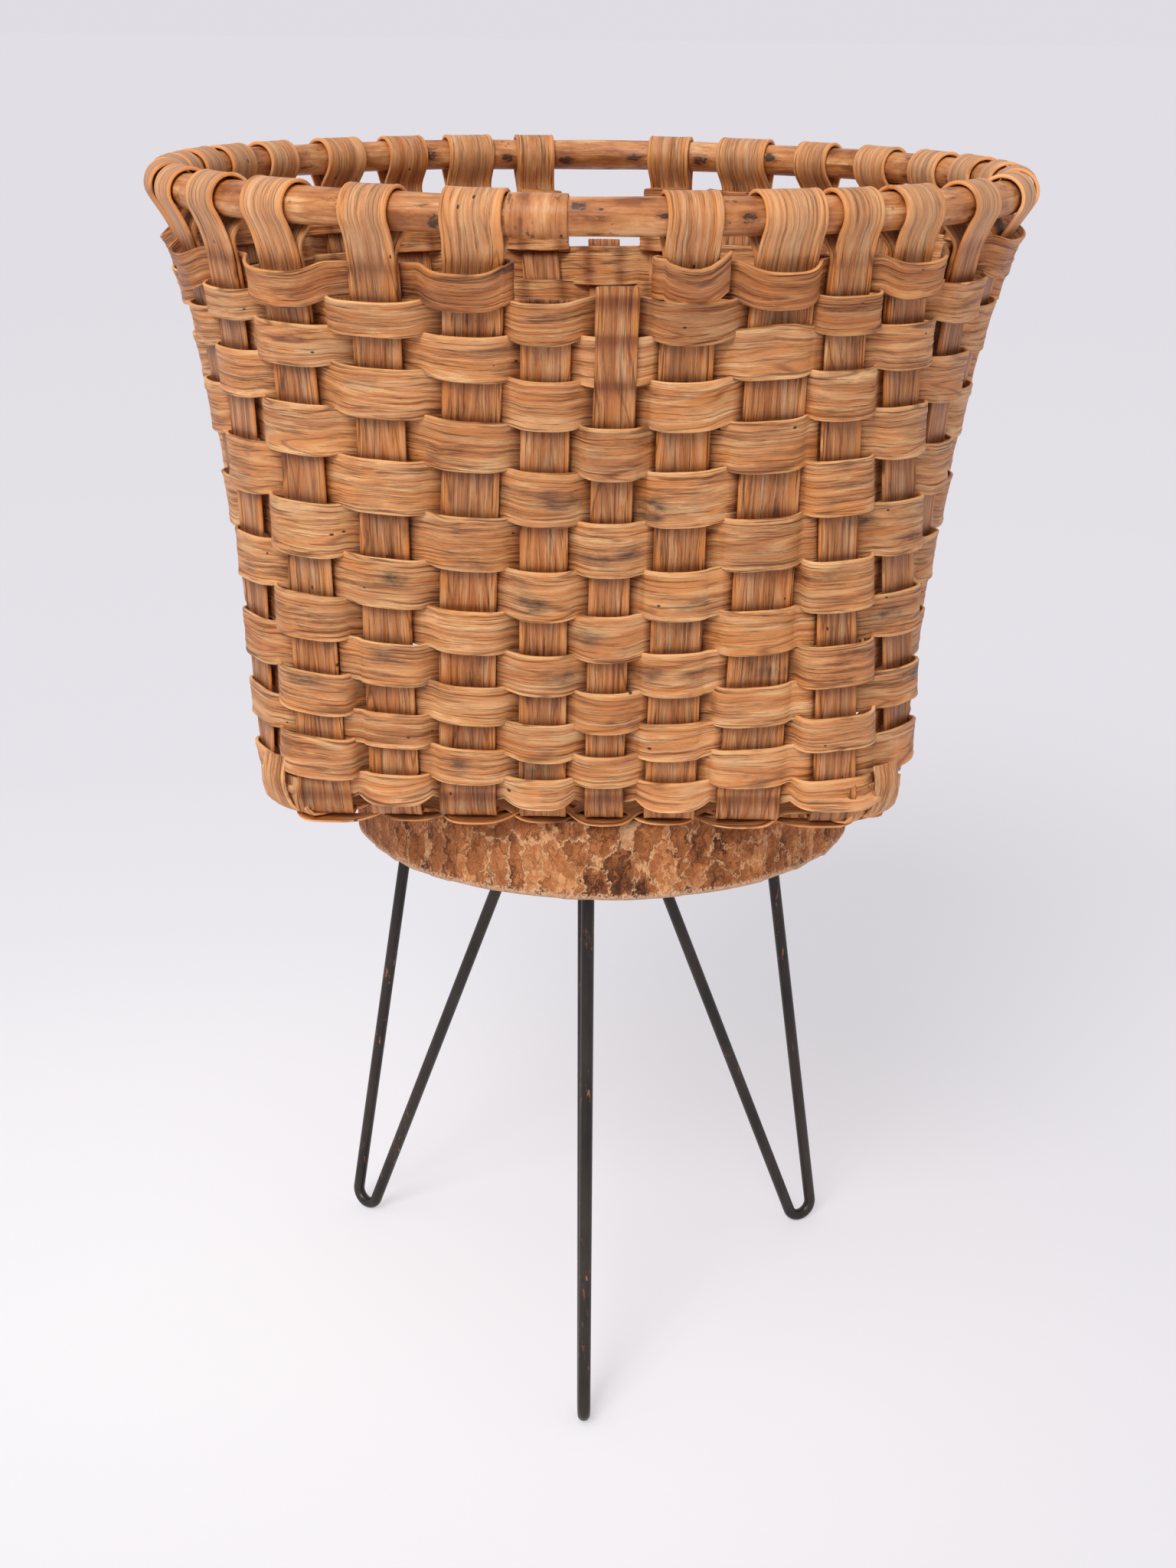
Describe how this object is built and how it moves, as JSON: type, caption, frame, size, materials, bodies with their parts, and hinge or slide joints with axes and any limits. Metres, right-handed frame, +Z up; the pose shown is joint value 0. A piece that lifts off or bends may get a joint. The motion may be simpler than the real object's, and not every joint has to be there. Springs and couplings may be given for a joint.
{
  "type": "woven basket on a hairpin-leg stool",
  "caption": "Large open basket woven from flat wood splints, square at the base and round at the pole rim, standing on a round log seat with bent steel rod legs.",
  "frame": {"origin": "on the floor, straight under the middle of the basket's round rim", "axes": "+Z up; -Y towards the front leg and the hand-hold whose splint end is folded out; +X to the right of someone who looks at that side"},
  "size_m": [0.6474, 0.6418, 0.9082],
  "materials": {
    "splint": "split and scraped wood splint, honey to orange brown, dry",
    "weaver": "split wood splint with raised fibres and paler edges, dry",
    "pole": "peeled round pole, golden brown with knots, worn smooth",
    "log": "log slice with a hewn bark-brown side, matt",
    "steel": "satin blackened rod with rusty scratches"
  },
  "bodies": {
    "stand": {"slab": "log", "hairpin_leg_front": "steel", "hairpin_leg_right": "steel", "hairpin_leg_left": "steel"},
    "basket": {"rim_pole": "pole", "rim_joint_sleeve": "splint", "splint_lengthwise_a": "splint", "splint_lengthwise_b": "splint", "splint_lengthwise_c": "splint", "splint_lengthwise_d": "splint", "splint_lengthwise_e": "splint", "splint_lengthwise_f": "splint", "splint_lengthwise_g": "splint", "splint_lengthwise_h": "splint", "splint_cross_1": "splint", "splint_cross_2": "splint", "splint_cross_3": "splint", "splint_cross_4": "splint", "splint_cross_5": "splint", "splint_cross_6": "splint", "splint_cross_7": "splint", "splint_cross_8": "splint", "row_1_left": "weaver", "row_1_right": "weaver", "row_2": "weaver", "row_3": "weaver", "row_4": "weaver", "row_5": "weaver", "row_6": "weaver", "row_7": "weaver", "row_8": "weaver", "row_9": "weaver", "row_10": "weaver", "row_11": "weaver", "row_12": "weaver", "row_13": "weaver", "row_14": "weaver"}
  },
  "joints": [
    {"name": "basket_lift", "type": "slide", "parent": "stand", "child": "basket", "axis": [0, 0, 1], "range_m": [0, 0.2]}
  ]
}
